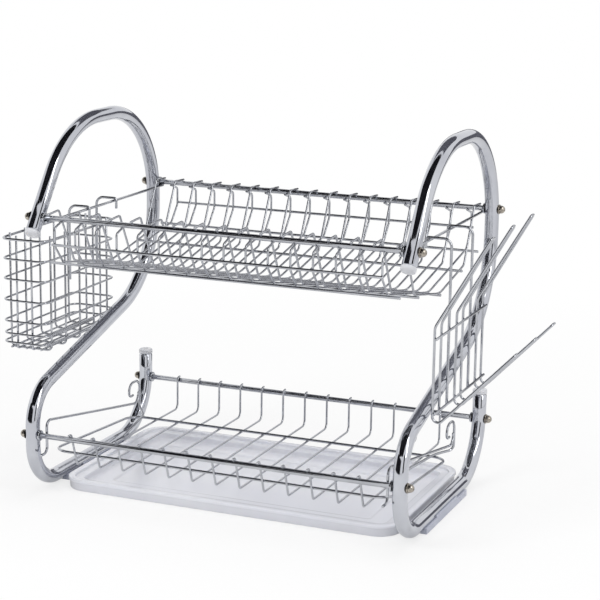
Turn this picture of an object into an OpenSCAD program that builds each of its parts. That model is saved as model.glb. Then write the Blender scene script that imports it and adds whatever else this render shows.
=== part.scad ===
// Two-tier dish drying rack: S-shaped tube side frames, wire racks, utensil basket, cup holder, drip tray.
// X runs left to right, Y from front to back, Z up. The origin is on the counter under the middle of the
// lower tier.

/* [Side frames] */
// Distance between the two tube centres
frame_w = 430; // [360:1:520]
// Distance from the front to the rear run of the lower loop, between tube centres
frame_d = 272; // [240:1:330]
// Height of the arch's tube centre above the counter
arch_z = 406; // [380:1:480]
// Diameter of the side frame tube
tube_d = 16; // [12:0.5:20]
// Wall of the side frame tube
tube_wall = 1.2; // [0.8:0.1:2]
// Height of the free end of the arch's front leg
leg_end_z = 297; // [285:1:305]
// Height of the free end of the rear post
post_end_z = 100; // [92:1:110]
// Height gained by the diagonal run for each millimetre of depth
diagonal_slope = 0.28; // [0.22:0.01:0.34]
// Height of the diagonal run in the middle of the frame
diagonal_z = 152; // [145:1:165]
// How far the arch's rear run stands behind the rear post
arch_offset = 22; // [10:1:30]

/* [Tiers] */
// Height of the lower rails
lower_z = 70; // [66:1:76]
// Height of the upper rails
upper_z = 311; // [308:1:330]
// Diameter of the rails
rail_d = 6; // [5:0.5:8]
// Diameter of the cross wires
wire_d = 2.4; // [2:0.1:3]
// Diameter of the lengthwise and side wires
long_d = 3; // [2.5:0.1:4]
// Space between upper cross wires
upper_pitch = 25; // [20:1:32]
// Space between lower cross wires
lower_pitch = 28.2; // [22:0.1:36]
// Depth of the upper trough below its rails
trough_depth = 72; // [60:1:80]
// Depth of the lower rack below its rails
well_depth = 35; // [28:1:40]

/* [Fasteners and plastic parts] */
// Diameter of the rail screws
screw_d = 3.6; // [3:0.1:4]
// Diameter of the dome heads
head_d = 9; // [7:0.5:11]
// Diameter of the collars and washers
collar_d = 12; // [10:0.5:14]
// Length of each foot clip
clip_len = 140; // [80:5:150]
// Thickness of plastic under the tube
clip_floor = 2; // [1.5:0.1:3]
// Length of a plug's visible head
plug_head = 5; // [3:0.5:8]

/* [Drip tray] */
// Depth of the drip tray from front to back
tray_d = 232; // [180:1:250]
// Height of the drip tray
tray_h = 12.5; // [10:0.5:14]
// Wall of the drip tray
tray_wall = 2; // [1.5:0.1:3]
// Corner radius of the drip tray
tray_r = 28; // [18:1:40]
// Gap between the tray and each foot clip
tray_gap = 5; // [3:0.5:12]

/* [Utensil basket] */
// Width of the basket across the rack
basket_w = 57; // [45:1:80]
// Length of the basket along the side frame
basket_l = 164; // [120:1:180]
// Depth of the basket
basket_h = 128; // [100:1:132]

/* [Cup holder] */
// Space between neighbouring prongs
prong_pitch = 74; // [64:1:80]
// Height of the cup holder's panel
panel_h = 110; // [90:1:125]
// Reach of the upper prongs beyond the panel
upper_reach = 55; // [40:1:70]
// Rise of the upper prongs
upper_rise = 96; // [80:1:110]
// Reach of the lower prongs beyond the panel
lower_reach = 84; // [60:1:95]
// Rise of the lower prongs
lower_rise = 88; // [70:1:92]

/* [Hidden] */
$fn = 32;

chrome = "silver";
plastic = "gainsboro";
touch = 0.06;   // gap left where two welded wires meet
swell = 0.03;   // a bend is this much fatter than the straight runs that it joins
lap = 0.1;      // length of a straight run inside its bend
hang = 0.3;     // gap left where a piece that lifts off rests

tube_r = tube_d / 2;
rail_r = rail_d / 2;
wire_r = wire_d / 2;
long_r = long_d / 2;
frame_x = frame_w / 2;
front_y = -frame_d / 2;
rear_y = frame_d / 2;
arch_y = rear_y + arch_offset;
floor_z = clip_floor + tube_r;
inner_x = frame_x - tube_r;
outer_x = frame_x + tube_r;

// ---- bent rods ------------------------------------------------------------------------------------

function unit(v) = v / norm(v);
function to_x(p, x) = [x, p[0], p[1]];
function wrap(i, n) = (i + n) % n;
function corner_turn(a, b, c) = 180 - acos(unit(a - b) * unit(c - b));
function corner_trim(a, b, c, r) = r * tan(corner_turn(a, b, c) / 2);
function trim_at(pts, radii, i) =
  radii[i] == 0 ? 0
  : corner_trim(pts[wrap(i - 1, len(pts))], pts[i], pts[wrap(i + 1, len(pts))], radii[i]);

module ring_profile(r, bore) {
  difference() {
    circle(r);
    if (bore > 0) circle(bore);
  }
}

module straight_rod(a, b, r, bore = 0) {
  d = b - a;
  translate(a)
    rotate([0, acos(d[2] / norm(d)), atan2(d[1], d[0])])
      linear_extrude(norm(d)) ring_profile(r, bore);
}

// One bend at b on the way from a to c
module rod_bend(a, b, c, bend_r, r, bore = 0) {
  u = unit(a - b);
  v = unit(c - b);
  turn = corner_turn(a, b, c);
  centre = b + unit(u + v) * bend_r / cos(turn / 2);
  e1 = (b + u * corner_trim(a, b, c, bend_r) - centre) / bend_r;
  e2 = -u;
  e3 = cross(e1, e2);
  multmatrix([
    [e1[0], e2[0], e3[0], centre[0]],
    [e1[1], e2[1], e3[1], centre[1]],
    [e1[2], e2[2], e3[2], centre[2]],
    [0, 0, 0, 1]
  ])
    rotate_extrude(angle = turn)
      translate([bend_r, 0]) ring_profile(r + swell, bore > 0 ? bore - swell : 0);
}

// A rod through the corner points, rounded at each corner; closed joins the last point to the first
module bent_rod(pts, radii, r, bore = 0, closed = false) {
  n = len(pts);
  for (i = [0 : (closed ? n - 1 : n - 2)]) {
    j = wrap(i + 1, n);
    way = unit(pts[j] - pts[i]);
    start = pts[i] + way * (trim_at(pts, radii, i) - (radii[i] > 0 ? lap : 0));
    stop = pts[j] - way * (trim_at(pts, radii, j) - (radii[j] > 0 ? lap : 0));
    straight_rod(start, stop, r, bore);
  }
  for (i = [0 : n - 1])
    if (radii[i] > 0)
      rod_bend(pts[wrap(i - 1, n)], pts[i], pts[wrap(i + 1, n)], radii[i], r, bore);
}

// A bent rod that lies in the plane X = x, from [y, z] corner points
module side_rod(pts, radii, r, x, bore = 0)
  bent_rod([for (p = pts) to_x(p, x)], radii, r, bore);

module along_x(x0, x1, y, z, r) straight_rod([x0, y, z], [x1, y, z], r);

// ---- side frames ----------------------------------------------------------------------------------

function diagonal_at(y) = diagonal_z + diagonal_slope * y;
leg_way = [0.59, 0.81];                 // direction of the arch's front leg in Y and Z
leg_end = [front_y + 8, leg_end_z];
leg_top = leg_end + leg_way * (arch_z - leg_end_z) / leg_way[1];
post_end = [rear_y, post_end_z];
frame_line = [
  leg_end,
  leg_top,
  [arch_y, arch_z],
  [arch_y, diagonal_at(arch_y)],
  [front_y, diagonal_at(front_y)],
  [front_y, floor_z],
  [rear_y, floor_z],
  post_end
];
frame_bends = [0, 130, 110, 115, 48, 48, 67, 0];

lower_front = [front_y, lower_z];
lower_rear = [rear_y, lower_z];
upper_front = leg_end + leg_way * (upper_z - leg_end_z) / leg_way[1];
upper_rear = [arch_y, upper_z];
rail_spots = [lower_front, lower_rear, upper_front, upper_rear];

module side_frame(side) color(chrome)
  difference() {
    side_rod(frame_line, frame_bends, tube_r, side * frame_x, tube_r - tube_wall);
    for (p = rail_spots)
      translate([side * frame_x, p[0], p[1]])
        rotate([0, 90, 0]) cylinder(d = screw_d + 0.4, h = tube_d + 2, center = true);
  }

module left_side_frame() side_frame(-1);
module right_side_frame() side_frame(1);

// A plug with its stem down the tube and its head on the tube's end
module plug() {
  bore_r = tube_r - tube_wall - 0.1;
  rotate_extrude() polygon([
    [0, -12], [bore_r - 1, -12], [bore_r, -11], [bore_r, 0.05], [tube_r + 0.3, 0.05],
    [tube_r + 0.3, plug_head - 1.5], [tube_r - 1.2, plug_head], [0, plug_head]
  ]);
}

module tube_end_plugs() color(plastic)
  for (side = [-1, 1]) {
    translate([side * frame_x, leg_end[0], leg_end[1]])
      rotate([180 - atan2(leg_way[0], leg_way[1]), 0, 0]) plug();
    translate([side * frame_x, post_end[0], post_end[1]]) plug();
  }

// Plastic clip that grips the lower half of the floor run
module foot_clip(side) color(plastic) {
  clip_w = tube_d + 4;
  difference() {
    translate([side * frame_x, -5, 0]) {
      translate([-clip_w / 2, -clip_len / 2, 0]) cube([clip_w, clip_len, floor_z - 3]);
      translate([-clip_w / 2, -clip_len / 4, 0]) cube([clip_w, clip_len / 2, floor_z]);
    }
    translate([side * frame_x, 0, floor_z])
      rotate([90, 0, 0]) cylinder(r = tube_r + 0.05, h = 2 * clip_len, center = true);
    for (end = [-1, 1])
      translate([side * frame_x, -5 + end * 3 * clip_len / 8, -0.01])
        cube([6, clip_len / 8, 1], center = true);
  }
}

module left_foot_clip() foot_clip(-1);
module right_foot_clip() foot_clip(1);

// ---- rails and fasteners --------------------------------------------------------------------------

rail_end_x = inner_x - 0.3;
tap_depth = 14;
collar_t = 2.2;
washer_t = 1;

module rail(spot) color(chrome)
  difference() {
    along_x(-rail_end_x, rail_end_x, spot[0], spot[1], rail_r);
    for (side = [-1, 1])
      translate([side * rail_end_x, spot[0], spot[1]])
        rotate([0, 90, 0]) cylinder(d = screw_d + 0.1, h = 2 * tap_depth, center = true);
  }

module lower_front_rail() rail(lower_front);
module lower_rear_rail() rail(lower_rear);
module upper_front_rail() rail(upper_front);
module upper_rear_rail() rail(upper_rear);

module at_rail_ends()
  for (side = [-1, 1], p = rail_spots)
    translate([0, p[0], p[1]]) rotate([0, side * 90, 0]) children();

// Ring round each rail end, against the inside of the tube
module rail_collars() color(chrome)
  at_rail_ends()
    translate([0, 0, inner_x - collar_t - 0.05])
      linear_extrude(collar_t) ring_profile(collar_d / 2, rail_r + 0.05);

module screw_washers() color(chrome)
  at_rail_ends()
    translate([0, 0, outer_x + 0.05])
      linear_extrude(washer_t) ring_profile(collar_d / 2 - 0.5, screw_d / 2 + 0.1);

// Dome head outside the washer, shank through the tube into the rail
module dome_screws() color("tan")
  at_rail_ends() {
    head_z = outer_x + washer_t + 0.1;
    dome_r = head_d / 2;
    translate([0, 0, rail_end_x - tap_depth + 2])
      cylinder(d = screw_d, h = head_z - rail_end_x + tap_depth - 2);
    translate([0, 0, head_z]) cylinder(r = dome_r, h = 1.5);
    intersection() {
      translate([0, 0, head_z + 1.5]) sphere(dome_r);
      translate([0, 0, head_z + 1.5]) cylinder(r = 2 * dome_r, h = dome_r + 1);
    }
  }

// ---- upper tier -----------------------------------------------------------------------------------

upper_mid = (upper_front[0] + upper_rear[0]) / 2;
upper_half = upper_rear[0] - upper_mid;      // from the middle of the trough to a rail
rail_touch = rail_r + wire_r + touch;
trough_z = upper_z - trough_depth;
shoulder = 11;                               // how far the cross wires stand out beyond the rails
drop_z = upper_z - 28;                       // where their upright part ends
heel = [upper_half - 6, upper_z - 48];       // corner between their slant and the trough's floor
floor_rise = (heel[1] - trough_z) / heel[0];
function trough_at(u) = trough_z + floor_rise * u;

// Half outlines as [distance from the trough's middle, height], from the rail inwards
shoulder_slope = 1 / 3;
shoulder_top = upper_z - rail_touch * sqrt(1 + pow(shoulder_slope, 2)) - shoulder_slope * shoulder;
cross_half = [
  [upper_half - 7, shoulder_top + shoulder_slope * (shoulder + 7)],
  [upper_half + shoulder, shoulder_top],
  [upper_half + shoulder, drop_z],
  heel
];
cross_bends = [0, 4, 6, 10];
hump = [upper_half - 20, upper_z + rail_touch + 1.5];
hump_foot = 85;
divider_half = [
  [upper_half + 3, upper_z + rail_touch],
  hump,
  [hump_foot, trough_at(hump_foot)]
];
divider_bends = [0, 4, 8];

// Both halves of a wire and the blunt corner in the middle of the trough
module trough_wire(half, bends, x) {
  n = len(half);
  front = [for (p = half) [upper_mid - p[0], p[1]]];
  rear = [for (i = [n - 1 : -1 : 0]) [upper_mid + half[i][0], half[i][1]]];
  side_rod(concat(front, [[upper_mid, trough_z]], rear),
           concat(bends, [60], [for (i = [n - 1 : -1 : 0]) bends[i]]), wire_r, x);
}

end_room = 2 * long_r + wire_r + collar_t + 0.5;   // for the side wire and collar beyond the last wire
upper_count = 2 * floor((inner_x - end_room) / upper_pitch);
module upper_cross_wires() color(chrome)
  for (i = [0 : upper_count - 1])
    trough_wire(cross_half, cross_bends, (i - (upper_count - 1) / 2) * upper_pitch);

module upper_divider_wires() color(chrome)
  for (i = [0 : upper_count])
    trough_wire(divider_half, divider_bends, (i - upper_count / 2) * upper_pitch);

divider_end_x = upper_count / 2 * upper_pitch;
cross_end_x = divider_end_x - upper_pitch / 2;
wire_touch = wire_r + long_r + touch;

// Wire outside the upright part of the cross wires
module shoulder_wire(end)
  along_x(-cross_end_x - 2, cross_end_x + 2,
          upper_mid + end * (upper_half + shoulder + wire_touch), drop_z + 2, long_r);

// Wire in the bend between slant and floor
module heel_wire(end) {
  slant = unit([shoulder + 6, drop_z - heel[1]]);
  inward = unit(slant + unit([-1, -floor_rise]));
  back_off = wire_touch - cross_bends[3] * (1 / cos(corner_turn(
    [heel[0] + shoulder + 6, drop_z], heel, [0, trough_z]) / 2) - 1);
  spot = heel - inward * back_off;
  along_x(-divider_end_x - 2, divider_end_x + 2, upper_mid + end * spot[0], spot[1], long_r);
}

module upper_front_wires() color(chrome) {
  shoulder_wire(-1);
  heel_wire(-1);
}

module upper_rear_wires() color(chrome) {
  shoulder_wire(1);
  heel_wire(1);
}

// Three wires under the trough's floor
module upper_bottom_wires() color(chrome) {
  under = wire_touch * sqrt(1 + pow(floor_rise, 2));
  lift = 60 * (1 / cos(atan(floor_rise)) - 1);
  for (u = [-74, 74])
    along_x(-divider_end_x - 2, divider_end_x + 2, upper_mid + u, trough_at(abs(u)) - under, long_r);
  along_x(-divider_end_x - 2, divider_end_x + 2, upper_mid, trough_z + lift - wire_touch, long_r);
}

side_wire_x = divider_end_x + wire_touch + 0.25;
side_wire_z = upper_z - rail_r - long_r - touch;
module upper_side_wire(side) color(chrome)
  straight_rod([side * side_wire_x, upper_front[0] - 3, side_wire_z],
               [side * side_wire_x, upper_rear[0] + 3, side_wire_z], long_r);

module upper_left_side_wire() upper_side_wire(-1);
module upper_right_side_wire() upper_side_wire(1);

// ---- lower tier -----------------------------------------------------------------------------------

well_z = lower_z - well_depth;
well_front = front_y + 17;
well_rear = rear_y - rail_touch;
lower_line = [
  [front_y - 2, lower_z + rail_touch],
  [front_y + rail_touch, lower_z + rail_touch],
  [well_front, well_z + 1.5],
  [well_rear, well_z],
  [well_rear, lower_z + rail_touch],
  [rear_y + 2, lower_z + rail_touch]
];
lower_bends = [0, 3, 4, 7, rail_touch - 0.3, 0];
lower_half_count = floor((inner_x - 18) / lower_pitch);
lower_end_x = lower_half_count * lower_pitch;

module lower_cross_wires() color(chrome)
  for (i = [-lower_half_count : lower_half_count])
    side_rod(lower_line, lower_bends, wire_r, i * lower_pitch);

function well_at(y) = well_z + 1.5 * (well_rear - y) / (well_rear - well_front);
rim_x = inner_x - 7;
rim_front_z = lower_z - 20;
rim_rear_y = 70;
rim_rear_z = well_at(rim_rear_y) + wire_touch;
// The slant of the cross wires at the height of the rim, and the rim inside it
slant_per_z = (well_front - front_y - rail_touch) / (lower_z + rail_touch - well_z - 1.5);
rim_front_y = front_y + rail_touch + slant_per_z * (lower_z + rail_touch - rim_front_z)
  + wire_touch * sqrt(1 + pow(slant_per_z, 2));

module lower_rim_wire() color(chrome)
  bent_rod([
    [-rim_x, rim_front_y, rim_front_z],
    [rim_x, rim_front_y, rim_front_z],
    [rim_x, rim_rear_y, rim_rear_z],
    [-rim_x, rim_rear_y, rim_rear_z]
  ], [20, 20, 20, 20], long_r, closed = true);

// Side wire: curled under the front rail, up behind it and back to the scroll
side_low_x = rim_x;
stem_y = rear_y - 46;
module lower_side_wire(side) color(chrome) {
  hook_y = front_y + rail_r + long_r + touch;
  end_y = stem_y - 2 * long_r - touch;
  side_rod([
    [front_y - 10, lower_z - 20],
    [hook_y, lower_z - 20],
    [hook_y, lower_z + 17],
    [end_y, well_z + 15],
    [end_y, well_z + 29]
  ], [0, 7, 7, 10, 0], long_r, side * side_low_x);
}

module lower_left_side_wire() lower_side_wire(-1);
module lower_right_side_wire() lower_side_wire(1);

// Scroll wire: a curl at the rear corner, a stem, and a tail that runs in over the rim to the end wire
curl_l = 27;   // length of the curl from the stem to its front
curl_h = 16;   // height of the curl
module scroll_wire(side) color(chrome) {
  over_rim = rim_rear_z + 2 * long_r + 2 * touch;
  curl_z = well_z + 44;
  bent_rod([
    [side * side_low_x, stem_y - curl_l + 10, curl_z - curl_h],
    [side * side_low_x, stem_y - curl_l, curl_z - curl_h],
    [side * side_low_x, stem_y - curl_l, curl_z],
    [side * side_low_x, stem_y, curl_z],
    [side * side_low_x, stem_y, over_rim + 2],
    [side * (rim_x - 16), rim_rear_y, over_rim],
    [side * lower_end_x, -10, well_at(-10) + wire_touch]
  ], [0, 5, 10, 11, 7, 40, 0], long_r);
}

module left_scroll_wire() scroll_wire(-1);
module right_scroll_wire() scroll_wire(1);

// ---- drip tray ------------------------------------------------------------------------------------

tray_w = frame_w - tube_d - 4 - 2 * tray_gap;
tray_y = 10;
rim_in = 8;       // width of the tray's outer ledge
step_in = 18;     // distance from its edge to the sunk floor

module tray_slab(inset, z0, z1) {
  r = max(tray_r - inset, 4);
  w = tray_w / 2 - inset - r;
  d = tray_d / 2 - inset - r;
  translate([0, tray_y, z0]) {
    translate([-w - r, -d, 0]) cube([2 * (w + r), 2 * d, z1 - z0]);
    translate([-w, -d - r, 0]) cube([2 * w, 2 * (d + r), z1 - z0]);
    for (sx = [-1, 1], sy = [-1, 1])
      translate([sx * w, sy * d, 0]) cylinder(r = r, h = z1 - z0);
  }
}

module drip_tray() color("white")
  difference() {
    tray_slab(0, 0, tray_h);
    tray_slab(rim_in, tray_h - 3, tray_h + 1);
    tray_slab(step_in, tray_wall, tray_h + 1);
    difference() {
      tray_slab(tray_wall, -1, tray_h - 3 - tray_wall);
      tray_slab(step_in - tray_wall, -2, tray_h);
    }
  }

// ---- utensil basket -------------------------------------------------------------------------------

basket_in = outer_x + 6;                    // wall next to the frame
basket_out = basket_in + basket_w;
basket_y0 = -80;
basket_y1 = basket_y0 + basket_l;
basket_top = upper_z - 36;
basket_z = basket_top - basket_h;
basket_r = 11;
basket_hook_ys = [-30, 34];

// Closed loop round the basket at one height
module basket_loop(z, r, grow = 0)
  bent_rod([
    [-basket_in + grow, basket_y0 - grow, z],
    [-basket_in + grow, basket_y1 + grow, z],
    [-basket_out - grow, basket_y1 + grow, z],
    [-basket_out - grow, basket_y0 - grow, z]
  ], [basket_r, basket_r, basket_r, basket_r] + grow * [1, 1, 1, 1], r, closed = true);

loop_grow = long_r - wire_r;                // keeps the thicker top loop flush inside
module basket_top_loop() color(chrome) basket_loop(basket_top, long_r, loop_grow);

basket_rows = [0.18, 0.36, 0.55, 0.74, 0.85, 0.93];
module basket_row_wires() color(chrome)
  for (part = basket_rows) basket_loop(basket_top - part * basket_h, wire_r);

basket_uprights = 5;
upright_in = 2 * wire_r + touch;            // uprights stand inside the loops
module basket_upright_wires() color(chrome) {
  for (i = [0 : basket_uprights - 1]) {
    y = basket_y0 + (i + 0.5) * basket_l / basket_uprights;
    bent_rod([
      [-basket_in - upright_in, y, basket_top + 4],
      [-basket_in - upright_in, y, basket_z],
      [-basket_out + upright_in, y, basket_z],
      [-basket_out + upright_in, y, basket_top + 4]
    ], [0, 6, 6, 0], wire_r);
  }
  for (y = [basket_y0 + upright_in, basket_y1 - upright_in], part = [1 / 3, 2 / 3])
    straight_rod([-basket_in - part * basket_w, y, basket_z + 2 * wire_r + touch],
                 [-basket_in - part * basket_w, y, basket_top + 4], wire_r);
}

// Lengthwise wires on the bottom bends
module basket_floor_wires() color(chrome)
  for (part = [1 / 6, 1 / 3, 1 / 2, 2 / 3, 5 / 6])
    straight_rod([-basket_in - part * basket_w, basket_y0 + 4, basket_z + upright_in],
                 [-basket_in - part * basket_w, basket_y1 - 4, basket_z + upright_in], wire_r);

// Corner points, as [distance from the middle of the rack, height], of a hook over a side wire
hook_bar_z = side_wire_z + 2 * long_r + hang;
hook_wrap = 2 * long_r + hang;
hook_tip = side_wire_x - hook_wrap;

module side_hook(side, foot_x, foot_z, y)
  bent_rod([
    [side * foot_x, y, foot_z],
    [side * foot_x, y, hook_bar_z],
    [side * hook_tip, y, hook_bar_z],
    [side * hook_tip, y, hook_bar_z - 12]
  ], [0, 9, hook_wrap, 0], long_r);

module basket_hooks() color(chrome)
  for (y = basket_hook_ys)
    side_hook(-1, basket_in - loop_grow - 2 * long_r - touch, basket_top - 0.4 * basket_h, y);

// ---- cup holder -----------------------------------------------------------------------------------

panel_x = outer_x + 5;
panel_mid = 7;
panel_top = upper_z - 85;
panel_low = panel_top - panel_h;
leg_half = 11;       // half the space between a prong's legs at the panel
tip_half = 5.5;      // and at its tip
prong_r = 1.4;

module prong_wire(y)
  bent_rod([
    [panel_x, y - leg_half, panel_top],
    [panel_x + upper_reach, y - tip_half, panel_top + upper_rise],
    [panel_x + upper_reach, y + tip_half, panel_top + upper_rise],
    [panel_x, y + leg_half, panel_top],
    [panel_x, y + leg_half, panel_low],
    [panel_x + lower_reach, y + tip_half, panel_low + lower_rise],
    [panel_x + lower_reach, y - tip_half, panel_low + lower_rise],
    [panel_x, y - leg_half, panel_low]
  ], [14, 4, 4, 14, 6, 4, 4, 6], prong_r, closed = true);

module holder_prong_wires() color(chrome)
  for (i = [-1 : 1]) prong_wire(panel_mid + i * prong_pitch);

// Cross bars on the outside of the legs
bar_drop = 12;
bar_top = panel_top - bar_drop;
bar_low = panel_low + bar_drop + 6;
bar_x = panel_x + 2 * prong_r + touch;
module holder_cross_bars() color(chrome)
  for (z = [bar_top, bar_low]) {
    reach = prong_pitch + leg_half + 3;
    straight_rod([bar_x, panel_mid - reach, z], [bar_x, panel_mid + reach, z], prong_r);
  }

module holder_hooks() color(chrome)
  for (i = [-0.5, 0.5])
    side_hook(1, bar_x - prong_r - long_r - touch, bar_low - 3, panel_mid + i * prong_pitch);

// ---- pieces ---------------------------------------------------------------------------------------

left_side_frame();
right_side_frame();
tube_end_plugs();
left_foot_clip();
right_foot_clip();
lower_front_rail();
lower_rear_rail();
upper_front_rail();
upper_rear_rail();
rail_collars();
screw_washers();
dome_screws();
upper_cross_wires();
upper_divider_wires();
upper_front_wires();
upper_bottom_wires();
upper_rear_wires();
upper_left_side_wire();
upper_right_side_wire();
lower_cross_wires();
lower_rim_wire();
lower_left_side_wire();
lower_right_side_wire();
left_scroll_wire();
right_scroll_wire();
drip_tray();
basket_top_loop();
basket_row_wires();
basket_upright_wires();
basket_floor_wires();
basket_hooks();
holder_prong_wires();
holder_cross_bars();
holder_hooks();
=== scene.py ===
import bmesh
import bpy
import math
from mathutils import Matrix, Vector


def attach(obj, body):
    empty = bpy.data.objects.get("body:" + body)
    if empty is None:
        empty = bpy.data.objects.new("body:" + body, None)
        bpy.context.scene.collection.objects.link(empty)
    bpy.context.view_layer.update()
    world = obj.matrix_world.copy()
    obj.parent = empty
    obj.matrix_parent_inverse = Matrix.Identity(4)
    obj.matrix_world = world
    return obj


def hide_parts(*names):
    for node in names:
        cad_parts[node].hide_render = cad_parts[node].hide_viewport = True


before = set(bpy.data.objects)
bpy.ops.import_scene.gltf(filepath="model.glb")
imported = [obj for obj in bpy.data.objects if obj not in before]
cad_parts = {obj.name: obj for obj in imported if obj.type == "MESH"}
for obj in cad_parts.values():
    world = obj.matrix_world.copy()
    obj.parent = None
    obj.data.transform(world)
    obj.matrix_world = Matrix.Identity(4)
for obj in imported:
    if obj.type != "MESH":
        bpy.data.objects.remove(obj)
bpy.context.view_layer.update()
scene = bpy.context.scene
MM = 0.001

# ---- colours and nodes ---------------------------------------------------------------------------


def srgb(code, alpha=1.0):
    """Linear colour of an sRGB hex value such as #C8CBD0."""
    parts = [int(code[i:i + 2], 16) / 255 for i in (1, 3, 5)]
    return tuple(c / 12.92 if c <= 0.04045 else ((c + 0.055) / 1.055) ** 2.4 for c in parts) + (alpha,)


def put(tree, kind, inputs=None, **settings):
    """Adds a node. inputs maps a socket's name or number to a value or to another node's output."""
    node = tree.nodes.new(kind)
    for key, value in settings.items():
        setattr(node, key, value)
    for key, value in (inputs or {}).items():
        if isinstance(value, bpy.types.NodeSocket):
            tree.links.new(value, node.inputs[key])
        else:
            node.inputs[key].default_value = value
    return node


def new_material(name):
    material = bpy.data.materials.new(name)
    material.use_nodes = True
    material.node_tree.nodes.clear()
    return material, material.node_tree


def close_material(tree, shader):
    put(tree, "ShaderNodeOutputMaterial", {"Surface": shader.outputs[0]})


def ramp(tree, factor, stops):
    """Colour ramp with (position, colour) stops; a plain number is a grey."""
    node = put(tree, "ShaderNodeValToRGB", {0: factor})
    elements = node.color_ramp.elements
    while len(elements) < len(stops):
        elements.new(0.5)
    for element, (position, colour) in zip(elements, stops):
        element.position = position
        element.color = colour if isinstance(colour, tuple) else (colour, colour, colour, 1)
    return node.outputs[0]


def noise(tree, size_mm, detail=2.0, stretch=(1, 1, 1), roughness=0.5):
    """Noise whose blotches are about size_mm across on the object, longer along an axis that stretch gives."""
    place = put(tree, "ShaderNodeTexCoord").outputs["Object"]
    turned = put(tree, "ShaderNodeMapping", {"Vector": place, "Scale": tuple(1 / s for s in stretch)}).outputs[0]
    return put(tree, "ShaderNodeTexNoise",
               {"Vector": turned, "Scale": 1000 / size_mm, "Detail": detail, "Roughness": roughness}).outputs["Fac"]


def plated_metal(name, bright, dull, rough_low, rough_high, wave_mm, wave_depth_mm, haze_mm):
    """A metal whose plating is a little uneven: slow waves in the surface and patches of faint haze."""
    material, tree = new_material(name)
    haze = noise(tree, haze_mm, detail=4, roughness=0.6)
    speck = noise(tree, 0.9, detail=2)
    tint = ramp(tree, haze, [(0.35, srgb(bright)), (0.7, srgb(dull))])
    rough = put(tree, "ShaderNodeMapRange",
                {"Value": haze, "From Min": 0.3, "From Max": 0.75, "To Min": rough_low, "To Max": rough_high})
    rough_fine = put(tree, "ShaderNodeMath", {0: speck, 1: 0.03, 2: rough.outputs[0]}, operation="MULTIPLY_ADD")
    waves = put(tree, "ShaderNodeBump",
                {"Height": noise(tree, wave_mm, detail=1), "Strength": 1.0, "Distance": wave_depth_mm * MM})
    shader = put(tree, "ShaderNodeBsdfPrincipled",
                 {"Base Color": tint, "Metallic": 1.0, "Roughness": rough_fine.outputs[0], "Normal": waves.outputs[0]})
    close_material(tree, shader)
    return material


def moulded_plastic(name, light, deep, rough, grain_mm, grain_depth_mm, subsurface, depth_mm, coat=0.0, flow_mm=40):
    """A soft translucent plastic from a mould: slow colour drift from the flow and a fine mould grain."""
    material, tree = new_material(name)
    flow = noise(tree, flow_mm, detail=3, stretch=(2, 1, 1))
    tint = ramp(tree, flow, [(0.3, srgb(light)), (0.75, srgb(deep))])
    grain = noise(tree, grain_mm, detail=3)
    bump = put(tree, "ShaderNodeBump", {"Height": grain, "Strength": 1.0, "Distance": grain_depth_mm * MM})
    gloss = put(tree, "ShaderNodeMapRange", {"Value": flow, "To Min": rough - 0.05, "To Max": rough + 0.07})
    shader = put(tree, "ShaderNodeBsdfPrincipled",
                 {"Base Color": tint, "Roughness": gloss.outputs[0], "IOR": 1.49, "Normal": bump.outputs[0],
                  "Subsurface Weight": subsurface, "Subsurface Scale": depth_mm * MM,
                  "Subsurface Radius": (1.0, 0.95, 0.9), "Coat Weight": coat, "Coat Roughness": 0.12})
    close_material(tree, shader)
    return material


# Bright chrome over polished steel tube: a mirror with slow waves from bending and a faint bluish haze.
tube_chrome = plated_metal("bright_chrome_on_bent_tube", "#CACCD2", "#B9BBC3", 0.04, 0.09, 34, 0.03, 60)
# Bright chrome over drawn wire: not ground before plating, so a little softer than the tube.
wire_chrome = plated_metal("bright_chrome_on_drawn_wire", "#BFC1C6", "#A9ABB1", 0.07, 0.14, 5, 0.02, 30)
# Chrome over the pressed metal of a resistance weld: duller and greyer than the wire round it.
weld_chrome = plated_metal("chrome_over_spot_weld", "#B9BBC0", "#9FA1A6", 0.18, 0.32, 0.8, 0.06, 3)
# Zinc-plated steel screws, clear passivated: slightly warm, satin metal.
zinc_steel = plated_metal("yellowish_zinc_plated_steel", "#B9B3A9", "#9C948A", 0.18, 0.32, 1.5, 0.02, 4)
# Low-density polyethylene plugs: waxy, pale grey, light passes a few millimetres into them.
plug_plastic = moulded_plastic("pale_grey_polyethylene", "#DCDDE0", "#CFD0D6", 0.42, 0.6, 0.015, 0.35, 2.5)
# Polypropylene foot clips: pale blue-grey, satin from a spark-eroded mould.
clip_plastic = moulded_plastic("blue_grey_polypropylene", "#C6C9D6", "#B9BDCC", 0.45, 0.5, 0.03, 0.15, 1.5)
# Thin polypropylene tray: milky white with a cool cast, glossy on top.
tray_plastic = moulded_plastic("milky_polypropylene_sheet", "#EDEEF4", "#E4E5EE", 0.24, 1.2, 0.012, 0.3, 3.0, 0.25, 90)

# ---- sizes of the rack, in mm, in the part's own frame ---------------------------------------------

tube_r, tube_wall, rail_r, wire_r, long_r, prong_r = 8.0, 1.2, 3.0, 1.2, 1.5, 1.4
touch = 0.06                       # gap between two welded wires
ring_gap = 0.05                    # between the tube and a collar or washer on it
frame_x, front_y, rear_y, arch_y, arch_z = 215.0, -136.0, 136.0, 158.0, 406.0
inner_x, outer_x, floor_z = frame_x - tube_r, frame_x + tube_r, 10.0
lower_z, upper_z = 70.0, 311.0
rail_touch, wire_touch = rail_r + wire_r + touch, wire_r + long_r + touch

leg_way = Vector((0.59, 0.81))
leg_end = Vector((front_y + 8, 297.0))
post_end = Vector((rear_y, 100.0))
leg_top = leg_end + leg_way * (arch_z - leg_end.y) / leg_way.y


def diagonal_at(y):
    return 152 + 0.28 * y


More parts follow.
